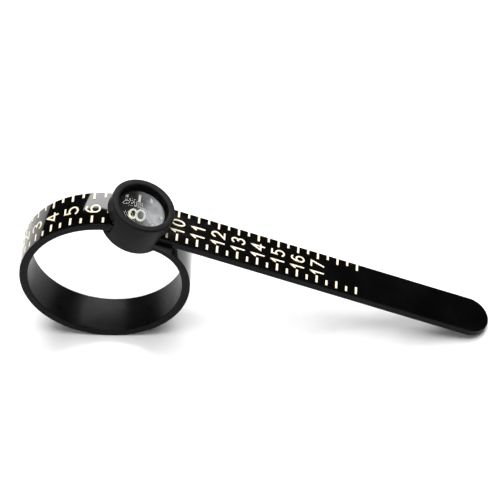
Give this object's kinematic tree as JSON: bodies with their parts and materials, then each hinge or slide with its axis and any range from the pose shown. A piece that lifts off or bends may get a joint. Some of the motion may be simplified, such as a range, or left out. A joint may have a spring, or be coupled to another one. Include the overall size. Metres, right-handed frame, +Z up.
{
  "type": "finger ring sizer",
  "caption": "Flexible strap with a stamped size scale, looped through a round lens housing that magnifies the reading.",
  "frame": {"origin": "middle of the footprint on the ground, under the point halfway between the loop's left side and the strap's tip", "axes": "+X from the finger loop towards the strap's tip, +Y across the strap along the loop's axis, +Z up from the ground"},
  "size_m": [0.0564, 0.0078, 0.0228],
  "materials": {
    "strap": "flexible black moulded plastic, glossy outer face and satin inner face",
    "housing": "black moulded plastic with a satin rim",
    "lens": "clear acrylic, polished",
    "foil": "cream and pale gold stamped foil"
  },
  "bodies": {
    "housing": {"lens_housing": "housing", "magnifier_lens": "lens", "strap_end": "strap"},
    "tail": {"strap_tail": "strap"},
    "loop": {"strap_loop": "strap"}
  },
  "joints": [
    {"name": "strap_slide", "type": "slide", "parent": "housing", "child": "tail", "axis": [0.9122, 0, -0.4098], "range_m": [-0.00255, 0.00255]},
    {"name": "loop_turn", "type": "hinge", "parent": "housing", "child": "loop", "pos_m": [-0.01787, 0, 0.0103], "axis": [0, 1, 0], "range_deg": [-14.94, 14.94]}
  ],
  "couplings": [
    {"joint": "loop_turn", "follows": "strap_slide", "rad_per_m": 102.04}
  ]
}
